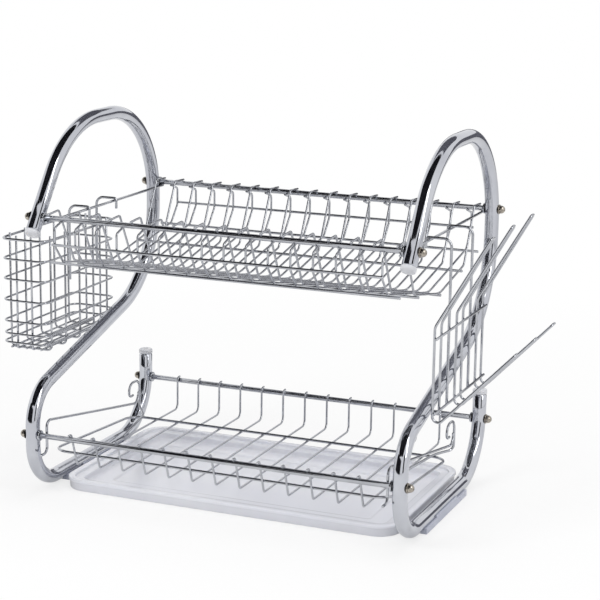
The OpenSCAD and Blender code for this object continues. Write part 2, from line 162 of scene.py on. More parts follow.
tube_line = [leg_end, leg_top, (arch_y, arch_z), (arch_y, diagonal_at(arch_y)), (front_y, diagonal_at(front_y)),
             (front_y, floor_z), (rear_y, floor_z), post_end]
tube_bends = [0, 130, 110, 115, 48, 48, 67, 0]
upper_front = leg_end + leg_way * (upper_z - leg_end.y) / leg_way.y
rail_spots = [(front_y, lower_z), (rear_y, lower_z), tuple(upper_front), (arch_y, upper_z)]

upper_mid = (upper_front.x + arch_y) / 2
upper_half = arch_y - upper_mid
trough_z, shoulder, drop_z = upper_z - 72, 11.0, upper_z - 28
heel = Vector((upper_half - 6, upper_z - 48))
floor_rise = (heel.y - trough_z) / heel.x
upper_pitch, upper_count = 25.0, 16
divider_end_x = upper_count / 2 * upper_pitch
cross_end_x = divider_end_x - upper_pitch / 2
side_wire_x = divider_end_x + wire_touch + 0.25
side_wire_z = upper_z - rail_r - long_r - touch


def trough_at(u):
    return trough_z + floor_rise * u


well_z, lower_pitch, lower_half_count = lower_z - 35, 28.2, 6
well_front, well_rear = front_y + 17, rear_y - rail_touch
lower_end_x = lower_half_count * lower_pitch


def well_at(y):
    return well_z + 1.5 * (well_rear - y) / (well_rear - well_front)


rim_x, rim_front_z, rim_rear_y = inner_x - 7, lower_z - 20, 70.0
rim_rear_z = well_at(rim_rear_y) + wire_touch
slant_per_z = (well_front - front_y - rail_touch) / (lower_z + rail_touch - well_z - 1.5)
slant_grow = math.sqrt(1 + slant_per_z ** 2)
rim_front_y = front_y + rail_touch + slant_per_z * (lower_z + rail_touch - rim_front_z) + wire_touch * slant_grow

# ---- paths -----------------------------------------------------------------------------------------


def rounded(corners, radii, closed=False, step_deg=9.0):
    """Corner points in mm, each rounded to its radius, as a run of points in metres."""
    pts = [Vector(p) for p in corners]
    n = len(pts)
    run = []
    for i, p in enumerate(pts):
        if radii[i] == 0:
            run.append(p)
            continue
        before, after = (pts[i - 1] - p).normalized(), (pts[(i + 1) % n] - p).normalized()
        turn = math.pi - before.angle(after)
        centre = p + (before + after).normalized() * radii[i] / math.cos(turn / 2)
        e1 = (p + before * radii[i] * math.tan(turn / 2) - centre) / radii[i]
        count = max(3, math.ceil(math.degrees(turn) / step_deg))
        for k in range(count + 1):
            a = turn * k / count
            run.append(centre + radii[i] * (e1 * math.cos(a) - before * math.sin(a)))
    return [q * MM for q in run], closed


def in_side(points, x):
    """Points given as (y, z) put in the plane X = x."""
    return [(x, p[0], p[1]) for p in points]


def straight(a, b):
    return [Vector(a) * MM, Vector(b) * MM], False


def along_x(half, y, z):
    return straight((-half, y, z), (half, y, z))


# ---- geometry node trees ---------------------------------------------------------------------------


def new_tree(name, inputs):
    """An empty tree with geometry in and out and the named inputs given as (name, kind, value)."""
    tree = bpy.data.node_groups.new(name, "GeometryNodeTree")
    tree.interface.new_socket("Geometry", in_out="INPUT", socket_type="NodeSocketGeometry")
    for label, kind, value in inputs:
        socket = tree.interface.new_socket(label, in_out="INPUT", socket_type="NodeSocket" + kind)
        if value is not None:
            socket.default_value = value
    tree.interface.new_socket("Geometry", in_out="OUTPUT", socket_type="NodeSocketGeometry")
    return tree, tree.nodes.new("NodeGroupInput").outputs


def end_tree(tree, geometry, material):
    solid = put(tree, "GeometryNodeRealizeInstances", {0: geometry})
    smooth = put(tree, "GeometryNodeSetShadeSmooth", {0: solid.outputs[0]})
    dressed = put(tree, "GeometryNodeSetMaterial", {0: smooth.outputs[0], "Material": material})
    put(tree, "NodeGroupOutput", {0: dressed.outputs[0]})


def wire_row_tree():
    """Sweeps a round bar along the object's curves and repeats it in an even row."""
    tree, given = new_tree("row_of_bent_wires", [
        ("Wire diameter", "Float", 0.0024), ("Sides", "Int", 16), ("Count", "Int", 1),
        ("Step", "Vector", (0.0, 0.0, 0.0)), ("Finish", "Material", None)])
    radius = put(tree, "ShaderNodeMath", {0: given["Wire diameter"], 1: 0.5}, operation="MULTIPLY")
    ring = put(tree, "GeometryNodeCurvePrimitiveCircle", {"Resolution": given["Sides"], "Radius": radius.outputs[0]})
    taper = put(tree, "GeometryNodeInputRadius")
    bar = put(tree, "GeometryNodeCurveToMesh",
              {"Curve": given["Geometry"], "Profile Curve": ring.outputs[0], "Scale": taper.outputs[0],
               "Fill Caps": True})
    places = put(tree, "GeometryNodeMeshLine", {"Count": given["Count"], "Offset": given["Step"]})
    row = put(tree, "GeometryNodeInstanceOnPoints", {"Points": places.outputs[0], "Instance": bar.outputs[0]})
    end_tree(tree, row.outputs[0], given["Finish"])
    return tree


def weld_tree():
    """Sets a small flattened bead of weld metal on each point of the object, each turned and sized a little apart."""
    tree, given = new_tree("spot_welds", [
        ("Bead radius", "Float", 0.0012), ("Seed", "Int", 7), ("Finish", "Material", None)])
    bead = put(tree, "GeometryNodeMeshIcoSphere", {"Radius": given["Bead radius"], "Subdivisions": 2})
    turn = put(tree, "FunctionNodeRandomValue", {0: (0, 0, 0), 1: (6.28, 6.28, 6.28), "Seed": given["Seed"]},
               data_type="FLOAT_VECTOR")
    size = put(tree, "FunctionNodeRandomValue", {0: (0.85, 0.9, 0.8), 1: (1.15, 1.12, 1.05), "Seed": given["Seed"]},
               data_type="FLOAT_VECTOR")
    beads = put(tree, "GeometryNodeInstanceOnPoints",
                {"Points": given["Geometry"], "Instance": bead.outputs[0], "Rotation": turn.outputs[0],
                 "Scale": size.outputs[0]})
    end_tree(tree, beads.outputs[0], given["Finish"])
    return tree


def fitting_tree():
    """Sets one fitting on each point of the object, turned as the point's facing attribute says."""
    tree, given = new_tree("fittings_at_places", [("Fitting", "Object", None), ("Finish", "Material", None)])
    shape = put(tree, "GeometryNodeObjectInfo", {"Object": given["Fitting"]})
    facing = put(tree, "GeometryNodeInputNamedAttribute", {"Name": "facing"}, data_type="FLOAT_VECTOR")
    turn = put(tree, "FunctionNodeEulerToRotation", {0: facing.outputs[0]})
    fittings = put(tree, "GeometryNodeInstanceOnPoints",
                   {"Points": given["Geometry"], "Instance": shape.outputs["Geometry"], "Rotation": turn.outputs[0]})
    solid = put(tree, "GeometryNodeRealizeInstances", {0: fittings.outputs[0]})
    dressed = put(tree, "GeometryNodeSetMaterial", {0: solid.outputs[0], "Material": given["Finish"]})
    put(tree, "NodeGroupOutput", {0: dressed.outputs[0]})
    return tree


wire_row, spot_weld, fitting_set = wire_row_tree(), weld_tree(), fitting_tree()


def grown(source, tree, values, name):
    """Runs a tree on an object and gives its result back as a plain mesh object."""
    modifier = source.modifiers.new("tree", "NODES")
    modifier.node_group = tree
    for item in tree.interface.items_tree:
        if item.item_type == "SOCKET" and item.in_out == "INPUT" and item.name in values:
            modifier[item.identifier] = values[item.name]
    bpy.context.view_layer.update()
    evaluated = source.evaluated_get(bpy.context.evaluated_depsgraph_get())
    mesh = bpy.data.meshes.new_from_object(evaluated)
    mesh.name = name
    piece = bpy.data.objects.new(name, mesh)
    scene.collection.objects.link(piece)
    source.modifiers.remove(modifier)
    bpy.data.objects.remove(source)
    return piece


def settle(piece, body, nodes=()):
    """Puts a finished piece on its CAD body and lets it stand for the CAD nodes it replaces."""
    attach(piece, body)
    if nodes:
        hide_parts(*nodes)
    return piece


END_CHAMFER, END_SIZE = 0.12, 0.76  # of a wire's diameter: length of its end chamfer and width of its end face


def wires(name, runs, diameter, finish, body, slot, nodes, count=1, step=(0, 0, 0), sides=16):
    """Wires of one diameter along the given runs; open ends are cut with a small burr-free chamfer."""
    curve = bpy.data.curves.new(name + "_line", "CURVE")
    curve.dimensions = "3D"
    nip = END_CHAMFER * diameter * MM
    for points, closed in runs:
        pts = list(points)
        sizes = [1.0] * len(pts)
        if not closed:
            first, last = (pts[1] - pts[0]).normalized(), (pts[-2] - pts[-1]).normalized()
            pts = [pts[0], pts[0] + first * nip, *pts[1:-1], pts[-1] + last * nip, pts[-1]]
            sizes = [END_SIZE, *[1.0] * (len(pts) - 2), END_SIZE]
        spline = curve.splines.new("POLY")
        spline.points.add(len(pts) - 1)
        for point, place, size in zip(spline.points, pts, sizes):
            point.co = (*place, 1)
            point.radius = size
        spline.use_cyclic_u = closed
    line = bpy.data.objects.new(name + "_line", curve)
    scene.collection.objects.link(line)
    piece = grown(line, wire_row, {
        "Wire diameter": diameter * MM, "Sides": sides, "Count": count, "Step": [s * MM for s in step],
        "Finish": finish}, name)
    return settle(piece, body, nodes)


def points_object(name, places, facings=None):
    mesh = bpy.data.meshes.new(name)
    mesh.from_pydata([Vector(p) * MM for p in places], [], [])
    if facings:
        attribute = mesh.attributes.new("facing", "FLOAT_VECTOR", "POINT")
        for item, value in zip(attribute.data, facings):
            item.vector = value
    holder = bpy.data.objects.new(name, mesh)
    scene.collection.objects.link(holder)
    return holder


def welds(name, places, body, slot, radius=1.25, seed=7):
    """Spot welds at the given contact points, in mm."""
    piece = grown(points_object(name + "_points", places), spot_weld,
                  {"Bead radius": radius * MM, "Seed": seed, "Finish": weld_chrome}, name)
    return settle(piece, body)


# ---- side frames -----------------------------------------------------------------------------------

TUBE, WIRE, STEEL = ("frame", "tube_chrome"), ("frame", "wire_chrome"), ("frame", "screw_steel")

for side, word in ((-1, "left"), (1, "right")):
    run = rounded(in_side(tube_line, side * frame_x), tube_bends, step_deg=3)
    wires(word + "_bent_tube", [run], 2 * tube_r, tube_chrome, *TUBE, [word + "_side_frame"], sides=64)

# ---- turned and moulded fittings -------------------------------------------------------------------


def turned(name, profile, sides=40, closed_profile=False):
    """A turned solid on the X axis from (along, radius) points in mm; profile ends on the axis or closes on itself."""
    rings, faces, verts = [], [], []
    for along, radius in profile:
        if radius < 1e-6:
            rings.append([len(verts)])
            verts.append(Vector((along, 0, 0)) * MM)
        else:
            rings.append(list(range(len(verts), len(verts) + sides)))
            for k in range(sides):
                a = 2 * math.pi * k / sides
                verts.append(Vector((along, radius * math.cos(a), radius * math.sin(a))) * MM)
    pairs = list(zip(rings, rings[1:] + ([rings[0]] if closed_profile else [])))
    if not closed_profile:
        pairs = pairs[:len(rings) - 1]
    for one, two in pairs:
        for k in range(sides):
            n = (k + 1) % sides
            face = [one[k % len(one)], one[n % len(one)], two[n % len(two)], two[k % len(two)]]
            face = [v for i, v in enumerate(face) if v != face[i - 1]]
            if len(face) > 2:
                faces.append(face)
    mesh = bpy.data.meshes.new(name)
    mesh.from_pydata(verts, [], faces)
    return outward(mesh)


def outward(mesh, smooth_deg=40):
    """Merges doubles, turns every face outwards and shades it smooth up to smooth_deg."""
    bm = bmesh.new()
    bm.from_mesh(mesh)
    bmesh.ops.remove_doubles(bm, verts=bm.verts, dist=1e-6)
    bmesh.ops.recalc_face_normals(bm, faces=bm.faces)
    for face in bm.faces:
        face.smooth = True
    for edge in bm.edges:
        if len(edge.link_faces) == 2 and edge.calc_face_angle(0) > math.radians(smooth_deg):
            edge.smooth = False
    bm.to_mesh(mesh)
    bm.free()
    return mesh


def arc(centre, radius, start, stop, count):
    """Points on an arc as (along, radius) pairs; angles in degrees from the along axis."""
    angles = [math.radians(start + (stop - start) * k / count) for k in range(count + 1)]
    return [(centre[0] + radius * math.cos(a), centre[1] + radius * math.sin(a)) for a in angles]


def cross_recess(mesh, face_at, depth, reach, width):
    """Cuts a tapered cross-shaped driver recess into a head whose top is at face_at on the X axis."""
    head = bpy.data.objects.new("head_blank", mesh)
    scene.collection.objects.link(head)
    cutters = []
    for turn in (0, math.pi / 2):
        low, high = face_at - depth, face_at + 1.0
        corners = []
        for along, y, z in ((low, reach * 0.45, width * 0.4), (high, reach * 1.25, width * 0.6)):
            corners += [(along, sy * y, sz * z) for sy, sz in ((-1, -1), (1, -1), (1, 1), (-1, 1))]
        spin = Matrix.Rotation(turn, 4, "X")
        wedge = bpy.data.meshes.new("recess_wedge")
        wedge.from_pydata([spin @ (Vector(c) * MM) for c in corners], [],
                          [(0, 1, 2, 3), (4, 5, 6, 7), (0, 1, 5, 4), (1, 2, 6, 5), (2, 3, 7, 6), (3, 0, 4, 7)])
        cutter = bpy.data.objects.new("recess_wedge", outward(wedge))
        scene.collection.objects.link(cutter)
        cut = head.modifiers.new("recess", "BOOLEAN")
        cut.operation, cut.object, cut.solver = "DIFFERENCE", cutter, "EXACT"
        cutters.append(cutter)
    bpy.context.view_layer.update()
    result = bpy.data.meshes.new_from_object(head.evaluated_get(bpy.context.evaluated_depsgraph_get()))
    for gone in (head, *cutters):
        bpy.data.objects.remove(gone)
    return outward(result, 30)


def fittings(name, mesh, places, facings, finish, body, slot, nodes):
    """One fitting repeated at its places, turned to its facings."""
    shape = bpy.data.objects.new(name + "_shape", mesh)
    scene.collection.objects.link(shape)
    piece = grown(points_object(name + "_places", places, facings), fitting_set,
                  {"Fitting": shape, "Finish": finish}, name)
    bpy.data.objects.remove(shape)
    return settle(piece, body, nodes)


rail_ends = [(side, spot) for side in (-1, 1) for spot in rail_spots]
to_sides = [(0, 0, 0) if side > 0 else (0, 0, math.pi) for side, _ in rail_ends]


def at_rail_ends(distance):
    return [(side * distance, spot[0], spot[1]) for side, spot in rail_ends]


# Collar: a pressed ring with a rolled outer edge.
collar_t = 2.2
collar = turned("rail_collar_shape", [
    (0, rail_r + 0.05), (0, 5.2), *arc((0.8, 5.2), 0.8, 180, 90, 5), *arc((collar_t - 0.5, 5.5), 0.5, 90, 0, 4),
    (collar_t, rail_r + 0.45), (collar_t - 0.4, rail_r + 0.05)], 48, True)
fittings("rail_collar_rings", collar, at_rail_ends(inner_x - collar_t - ring_gap), to_sides, wire_chrome, *WIRE,
         ["rail_collars"])

# Washer: flat ring, stamped, with one rounded and one sharp edge.
washer = turned("screw_washer_shape", [
    (0, 1.9), (0, 5.5), *arc((0.65, 5.15), 0.35, 90, 0, 4), (1.0, 2.1), (0.85, 1.9)], 48, True)
fittings("stamped_washers", washer, at_rail_ends(outer_x + ring_gap), to_sides, zinc_steel, *STEEL, ["screw_washers"])

# Screw: low cylinder under a dome, driver recess in the top; the shank runs into the rail.
head_at, head_r, rail_end_x = outer_x + 1.1, 4.5, inner_x - 0.3
shank_r, shank_in, shank_chamfer = 1.8, 12.0, 0.5      # the shank's reach is counted from the rail's end
dome = turned("dome_screw_shape", [
    (rail_end_x - shank_in - head_at, 0), (rail_end_x - shank_in - head_at, shank_r - shank_chamfer),
    (rail_end_x - (shank_in - shank_chamfer) - head_at, shank_r), (0, shank_r),
    (0, head_r - 0.25), (0.25, head_r), *arc((1.5, 0), head_r, 90, 0, 14)[:-1], (1.5 + head_r, 0)], 48)
dome = cross_recess(dome, 1.5 + head_r, 2.6, 2.0, 1.1)
fittings("dome_head_screws", dome, at_rail_ends(head_at), to_sides, zinc_steel, *STEEL, ["dome_screws"])

# Plug: flange with a rounded rim, a shallow dimple where the mould was fed, stem in the tube.
bore_r = tube_r - tube_wall - 0.1
plug = turned("tube_plug_shape", [
    (-12, 0), (-12, bore_r - 1), (-11, bore_r), (0.05, bore_r), (0.05, tube_r + 0.1), (0.25, tube_r + 0.3),
    (3.0, tube_r + 0.3), *arc((3.2, tube_r - 1.5), 1.8, 90, 0, 8), (5.0, 2.4), (4.85, 1.9), (4.7, 1.2), (4.65, 0)], 56)
plug_places, plug_turns = [], []
for side in (-1, 1):
    plug_places += [(side * frame_x, leg_end.x, leg_end.y), (side * frame_x, post_end.x, post_end.y)]
    for away in (Vector((0, -leg_way.x, -leg_way.y)), Vector((0, 0, 1))):
        plug_turns.append(Vector((1, 0, 0)).rotation_difference(away).to_euler())
fittings("tube_end_caps", plug, plug_places, plug_turns, plug_plastic, "frame", "grey_plastic", ["tube_end_plugs"])

# ---- foot clips ------------------------------------------------------------------------------------


def softened(name, node, width, finish, body, segments=3):
    """A copy of a CAD node with its sharp edges rounded over, as they come from the mould."""
    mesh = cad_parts[node].data.copy()
    mesh.name = name
    mesh.materials.clear()
    mesh.materials.append(finish)
    outward(mesh)
    piece = bpy.data.objects.new(name, mesh)
    scene.collection.objects.link(piece)
    bevel = piece.modifiers.new("rounded_edges", "BEVEL")
    bevel.width, bevel.segments, bevel.limit_method, bevel.angle_limit = width * MM, segments, "ANGLE", math.radians(35)
    bevel.harden_normals = False
    return settle(piece, body, [node])


for word in ("left", "right"):
    softened(word + "_foot_clip_moulding", word + "_foot_clip", 0.5, clip_plastic, "frame")

# ---- rails -----------------------------------------------------------------------------------------

for word, spot in zip(("lower_front", "lower_rear", "upper_front", "upper_rear"), rail_spots):
    wires(word + "_round_rail", [along_x(rail_end_x, *spot)], 2 * rail_r, wire_chrome, *WIRE, [word + "_rail"],
          sides=40)

# ---- upper tier ------------------------------------------------------------------------------------

slope = 1 / 3                                   # of the cross wires where they pass under the rails
shoulder_top = upper_z - rail_touch * math.sqrt(1 + slope ** 2) - slope * shoulder
cross_half = [(upper_half - 7, shoulder_top + slope * (shoulder + 7)), (upper_half + shoulder, shoulder_top),
              (upper_half + shoulder, drop_z), tuple(heel)]
hump_foot = 85.0
divider_half = [(upper_half + 3, upper_z + rail_touch), (upper_half - 20, upper_z + rail_touch + 1.5),
                (hump_foot, trough_at(hump_foot))]


def trough_wire(half, bends, x):
    front = [(upper_mid - u, z) for u, z in half]
    rear = [(upper_mid + u, z) for u, z in reversed(half)]
    return rounded(in_side([*front, (upper_mid, trough_z), *rear], x), [*bends, 60, *reversed(bends)])


wires("trough_cross_wires", [trough_wire(cross_half, [0, 4, 6, 10], -cross_end_x)], 2 * wire_r, wire_chrome, *WIRE,
      ["upper_cross_wires"], upper_count, (upper_pitch, 0, 0))
wires("plate_divider_wires", [trough_wire(divider_half, [0, 4, 8], -divider_end_x)], 2 * wire_r, wire_chrome, *WIRE,
      ["upper_divider_wires"], upper_count + 1, (upper_pitch, 0, 0))

slant = Vector((shoulder + 6, drop_z - heel.y)).normalized()
inward = (slant + Vector((-1, -floor_rise)).normalized()).normalized()
heel_turn = math.pi - slant.angle(Vector((-heel.x, trough_z - heel.y)))
heel_spot = heel - inward * (wire_touch - 10 * (1 / math.cos(heel_turn / 2) - 1))
shoulder_u = upper_half + shoulder + wire_touch
floor_under = wire_touch * math.sqrt(1 + floor_rise ** 2)
keel_lift = 60 * (1 / math.cos(math.atan(floor_rise)) - 1)


def trough_side(end):
    return [along_x(cross_end_x + 2, upper_mid + end * shoulder_u, drop_z + 2),
            along_x(divider_end_x + 2, upper_mid + end * heel_spot.x, heel_spot.y)]


floor_us = (-74, 0, 74)
floor_zs = [trough_at(abs(u)) - floor_under if u else trough_z + keel_lift - wire_touch for u in floor_us]
wires("trough_front_wires", trough_side(-1), 2 * long_r, wire_chrome, *WIRE, ["upper_front_wires"], sides=20)
wires("trough_rear_wires", trough_side(1), 2 * long_r, wire_chrome, *WIRE, ["upper_rear_wires"], sides=20)
wires("trough_floor_wires", [along_x(divider_end_x + 2, upper_mid + u, z) for u, z in zip(floor_us, floor_zs)],
      2 * long_r, wire_chrome, *WIRE, ["upper_bottom_wires"], sides=20)
for side, word in ((-1, "left"), (1, "right")):
    wires("upper_" + word + "_end_bar", [straight((side * side_wire_x, upper_front.x - 3, side_wire_z),
                                                  (side * side_wire_x, arch_y + 3, side_wire_z))],
          2 * long_r, wire_chrome, *WIRE, ["upper_" + word + "_side_wire"], sides=20)

cross_xs = [(i - (upper_count - 1) / 2) * upper_pitch for i in range(upper_count)]
divider_xs = [(i - upper_count / 2) * upper_pitch for i in range(upper_count + 1)]
rail_foot = Vector((-slope, -1)).normalized() * rail_r
upper_points = []
for end in (-1, 1):
    for x in cross_xs:
        upper_points += [
            (x, upper_mid + end * (upper_half + rail_foot.x), upper_z + rail_foot.y),
            (x, upper_mid + end * (shoulder_u - long_r), drop_z + 2),
            (x, upper_mid + end * (heel_spot + inward * long_r).x, (heel_spot + inward * long_r).y)]
    upper_points += [(x, upper_mid + end * upper_half, upper_z + rail_r) for x in divider_xs]
    upper_points += [(s * side_wire_x, upper_mid + end * upper_half, upper_z - rail_r) for s in (-1, 1)]
for u, z in zip(floor_us, floor_zs):
    upper_points += [(x, upper_mid + u, z + long_r) for x in cross_xs + divider_xs]
welds("upper_tier_spot_welds", upper_points, *WIRE, radius=1.2, seed=3)

# ---- lower tier ------------------------------------------------------------------------------------

lower_line = [(front_y - 2, lower_z + rail_touch), (front_y + rail_touch, lower_z + rail_touch),
              (well_front, well_z + 1.5), (well_rear, well_z), (well_rear, lower_z + rail_touch),
              (rear_y + 2, lower_z + rail_touch)]
wires("bowl_tier_cross_wires", [rounded(in_side(lower_line, -lower_end_x), [0, 3, 4, 7, rail_touch - 0.3, 0])],
      2 * wire_r, wire_chrome, *WIRE, ["lower_cross_wires"], 2 * lower_half_count + 1, (lower_pitch, 0, 0))
wires("bowl_rim_wire", [rounded([(-rim_x, rim_front_y, rim_front_z), (rim_x, rim_front_y, rim_front_z),
                                 (rim_x, rim_rear_y, rim_rear_z), (-rim_x, rim_rear_y, rim_rear_z)],
                                [20] * 4, closed=True)],
      2 * long_r, wire_chrome, *WIRE, ["lower_rim_wire"], sides=20)

stem_y, curl_l, curl_h = rear_y - 46, 27.0, 16.0
hook_y, end_y = front_y + rail_r + long_r + touch, stem_y - 2 * long_r - touch
over_rim, curl_z = rim_rear_z + 2 * long_r + 2 * touch, well_z + 44
for side, word in ((-1, "left"), (1, "right")):
    wires("lower_" + word + "_end_wire", [rounded(in_side([
        (front_y - 10, lower_z - 20), (hook_y, lower_z - 20), (hook_y, lower_z + 17), (end_y, well_z + 15),
        (end_y, well_z + 29)], side * rim_x), [0, 7, 7, 10, 0])],
        2 * long_r, wire_chrome, *WIRE, ["lower_" + word + "_side_wire"], sides=20)
    wires(word + "_corner_scroll", [rounded([
        (side * rim_x, stem_y - curl_l + 10, curl_z - curl_h), (side * rim_x, stem_y - curl_l, curl_z - curl_h),
        (side * rim_x, stem_y - curl_l, curl_z), (side * rim_x, stem_y, curl_z),
        (side * rim_x, stem_y, over_rim + 2), (side * (rim_x - 16), rim_rear_y, over_rim),
        (side * lower_end_x, -10, well_at(-10) + wire_touch)], [0, 5, 10, 11, 7, 40, 0])],
        2 * long_r, wire_chrome, *WIRE, [word + "_scroll_wire"], sides=20)

lower_points = []
rim_face = Vector((-1, -slant_per_z)).normalized() * long_r
for x in [i * lower_pitch for i in range(-lower_half_count, lower_half_count + 1)]:
    lower_points += [(x, front_y, lower_z + rail_r), (x, rear_y, lower_z + rail_r),
                     (x, rim_rear_y, rim_rear_z - long_r), (x, rim_front_y + rim_face.x, rim_front_z + rim_face.y)]
for s in (-1, 1):
    lower_points += [(s * rim_x, front_y + rail_r, lower_z), (s * rim_x, end_y + long_r, well_z + 28.5),
                     (s * rim_x, end_y + long_r, well_z + 26.5), (s * (rim_x - 15.5), rim_rear_y, rim_rear_z + long_r),
                     (s * lower_end_x, -8, well_at(-8) + wire_r)]
welds("lower_tier_spot_welds", lower_points, *WIRE, radius=1.25, seed=5)

# ---- drip tray -------------------------------------------------------------------------------------

tray_w, tray_d, tray_y, tray_r = 400.0, 232.0, 10.0, 28.0
TRAY_PROFILE = [                                # (distance in from the edge, height), top middle to bottom middle
    (47, 2.0), (45.5, 2.1), (44.2, 2.5), (43, 2.9), (41.5, 3.0),
    (24, 3.0), (21.6, 3.25), (20.0, 4.0), (19.2, 5.1), (18.3, 8.5), (17.8, 9.2), (16.9, 9.5),
    (9.8, 9.5), (8.9, 9.7), (8.35, 10.3), (8.1, 11.8), (7.7, 12.3), (7.0, 12.5),
    (1.5, 12.5), (0.7, 12.3), (0.2, 11.8), (0, 11.0),
    (0, 9.6), (0.25, 9.15), (1.1, 8.9), (1.4, 8.4), (2.0, 0.6), (2.4, 0.0),
    (3.6, 0.0), (4.0, 0.5), (3.4, 6.9), (4.0, 7.5),
    (15.4, 7.5), (16.0, 6.9), (16.3, 0.5), (16.8, 0.0)]


def rounded_ring(inset, z, per_corner=12):
    """Points round the tray at one inset and height."""
    r = max(tray_r - inset, 4.0)
    half_w, half_d = tray_w / 2 - inset - r, tray_d / 2 - inset - r
    ring = []
    for corner, (sx, sy) in enumerate(((1, 1), (-1, 1), (-1, -1), (1, -1))):
        for k in range(per_corner + 1):
            a = math.pi / 2 * (corner + k / per_corner)
            ring.append(Vector((sx * half_w + r * math.cos(a), tray_y + sy * half_d + r * math.sin(a), z)) * MM)
    return ring


def lofted_tray():
    rings = [rounded_ring(inset, z) for inset, z in TRAY_PROFILE]
    n = len(rings[0])
    verts = [p for ring in rings for p in ring]
    faces = [tuple(range(n)), tuple(range(len(verts) - n, len(verts)))]
    for i in range(len(rings) - 1):
        faces += [(i * n + k, i * n + (k + 1) % n, (i + 1) * n + (k + 1) % n, (i + 1) * n + k) for k in range(n)]
    mesh = bpy.data.meshes.new("moulded_drip_tray")
    mesh.from_pydata(verts, [], faces)
    mesh.materials.append(tray_plastic)
    piece = bpy.data.objects.new("moulded_drip_tray", outward(mesh, 50))
    scene.collection.objects.link(piece)
    return settle(piece, "drip_tray", ["drip_tray"])


lofted_tray()

# ---- hooks over the side wires ---------------------------------------------------------------------

hang, hook_drop = 0.3, 12.0        # gap over the side wire, and how far a hook reaches down behind it
hook_bar_z, hook_wrap = side_wire_z + 2 * long_r + hang, 2 * long_r + hang
hook_tip = side_wire_x - hook_wrap


def side_hook(side, foot_x, foot_z, y):
    return rounded([(side * foot_x, y, foot_z), (side * foot_x, y, hook_bar_z), (side * hook_tip, y, hook_bar_z),
                    (side * hook_tip, y, hook_bar_z - hook_drop)], [0, 9, hook_wrap, 0])


# ---- utensil basket --------------------------------------------------------------------------------

BASKET = ("utensil_basket", "wire_chrome")
basket_w, basket_l, basket_h, basket_r = 57.0, 164.0, 128.0, 11.0
basket_in = outer_x + 6
basket_out = basket_in + basket_w
basket_y0 = -80.0
basket_y1 = basket_y0 + basket_l
basket_top = upper_z - 36
basket_z = basket_top - basket_h
loop_grow, upright_in = long_r - wire_r, 2 * wire_r + touch


def basket_loop(z, grow=0.0):
    x0, x1, y0, y1 = -basket_in + grow, -basket_out - grow, basket_y0 - grow, basket_y1 + grow
    return rounded([(x0, y0, z), (x0, y1, z), (x1, y1, z), (x1, y0, z)], [basket_r + grow] * 4, closed=True)


row_zs = [basket_top - part * basket_h for part in (0.18, 0.36, 0.55, 0.74, 0.85, 0.93)]
upright_ys = [basket_y0 + (i + 0.5) * basket_l / 5 for i in range(5)]
end_ys = [basket_y0 + upright_in, basket_y1 - upright_in]
end_xs = [-basket_in - part * basket_w for part in (1 / 3, 2 / 3)]
floor_xs = [-basket_in - part * basket_w for part in (1 / 6, 1 / 3, 1 / 2, 2 / 3, 5 / 6)]
wires("basket_top_ring", [basket_loop(basket_top, loop_grow)], 2 * long_r, wire_chrome, *BASKET, ["basket_top_loop"],
      sides=20)
wires("basket_rings", [basket_loop(z) for z in row_zs], 2 * wire_r, wire_chrome, *BASKET, ["basket_row_wires"])
upright = rounded([(-basket_in - upright_in, upright_ys[0], basket_top + 4),
                   (-basket_in - upright_in, upright_ys[0], basket_z),
                   (-basket_out + upright_in, upright_ys[0], basket_z),
                   (-basket_out + upright_in, upright_ys[0], basket_top + 4)], [0, 6, 6, 0])
wires("basket_cradle_wires", [upright], 2 * wire_r, wire_chrome, *BASKET, ["basket_upright_wires"], 5,
      (0, basket_l / 5, 0))
wires("basket_end_wires", [straight((x, y, basket_z + 2 * wire_r + touch), (x, y, basket_top + 4))
                           for x in end_xs for y in end_ys], 2 * wire_r, wire_chrome, *BASKET, [])
wires("basket_bottom_wires", [straight((x, basket_y0 + 4, basket_z + upright_in), (x, basket_y1 - 4,
                                                                                    basket_z + upright_in))
                              for x in floor_xs], 2 * wire_r, wire_chrome, *BASKET, ["basket_floor_wires"])
basket_hook_ys = (-30, 34)
basket_hook_x = basket_in - loop_grow - 2 * long_r - touch
wires("basket_hanging_hooks", [side_hook(-1, basket_hook_x, basket_top - 0.4 * basket_h, y) for y in basket_hook_ys],
      2 * long_r, wire_chrome, *BASKET, ["basket_hooks"], sides=20)

basket_points = []
for z in [basket_top, *row_zs]:
    basket_points += [(x, y, z) for y in upright_ys for x in (-basket_in - wire_r, -basket_out + wire_r)]
    basket_points += [(x, y, z) for x in end_xs for y in (basket_y0 + wire_r, basket_y1 - wire_r)]
basket_points += [(x, y, basket_z + wire_r) for x in floor_xs for y in upright_ys]
basket_points += [(-basket_hook_x - long_r, y, basket_top) for y in basket_hook_ys]
welds("basket_spot_welds", basket_points, *BASKET, radius=1.1, seed=11)

# ---- cup holder ------------------------------------------------------------------------------------

HOLDER = ("cup_holder", "wire_chrome")
panel_x, panel_mid, panel_top, prong_pitch = outer_x + 5, 7.0, upper_z - 85, 74.0
panel_low = panel_top - 110
leg_half, tip_half = 11.0, 5.5
first_y = panel_mid - prong_pitch
wires("cup_prongs", [rounded([
    (panel_x, first_y - leg_half, panel_top), (panel_x + 55, first_y - tip_half, panel_top + 96),
    (panel_x + 55, first_y + tip_half, panel_top + 96), (panel_x, first_y + leg_half, panel_top),
    (panel_x, first_y + leg_half, panel_low), (panel_x + 84, first_y + tip_half, panel_low + 88),
    (panel_x + 84, first_y - tip_half, panel_low + 88), (panel_x, first_y - leg_half, panel_low)],
    [14, 4, 4, 14, 6, 4, 4, 6], closed=True)],
    2 * prong_r, wire_chrome, *HOLDER, ["holder_prong_wires"], 3, (0, prong_pitch, 0), 20)
bar_x = panel_x + 2 * prong_r + touch
bar_zs = (panel_top - 12, panel_low + 18)
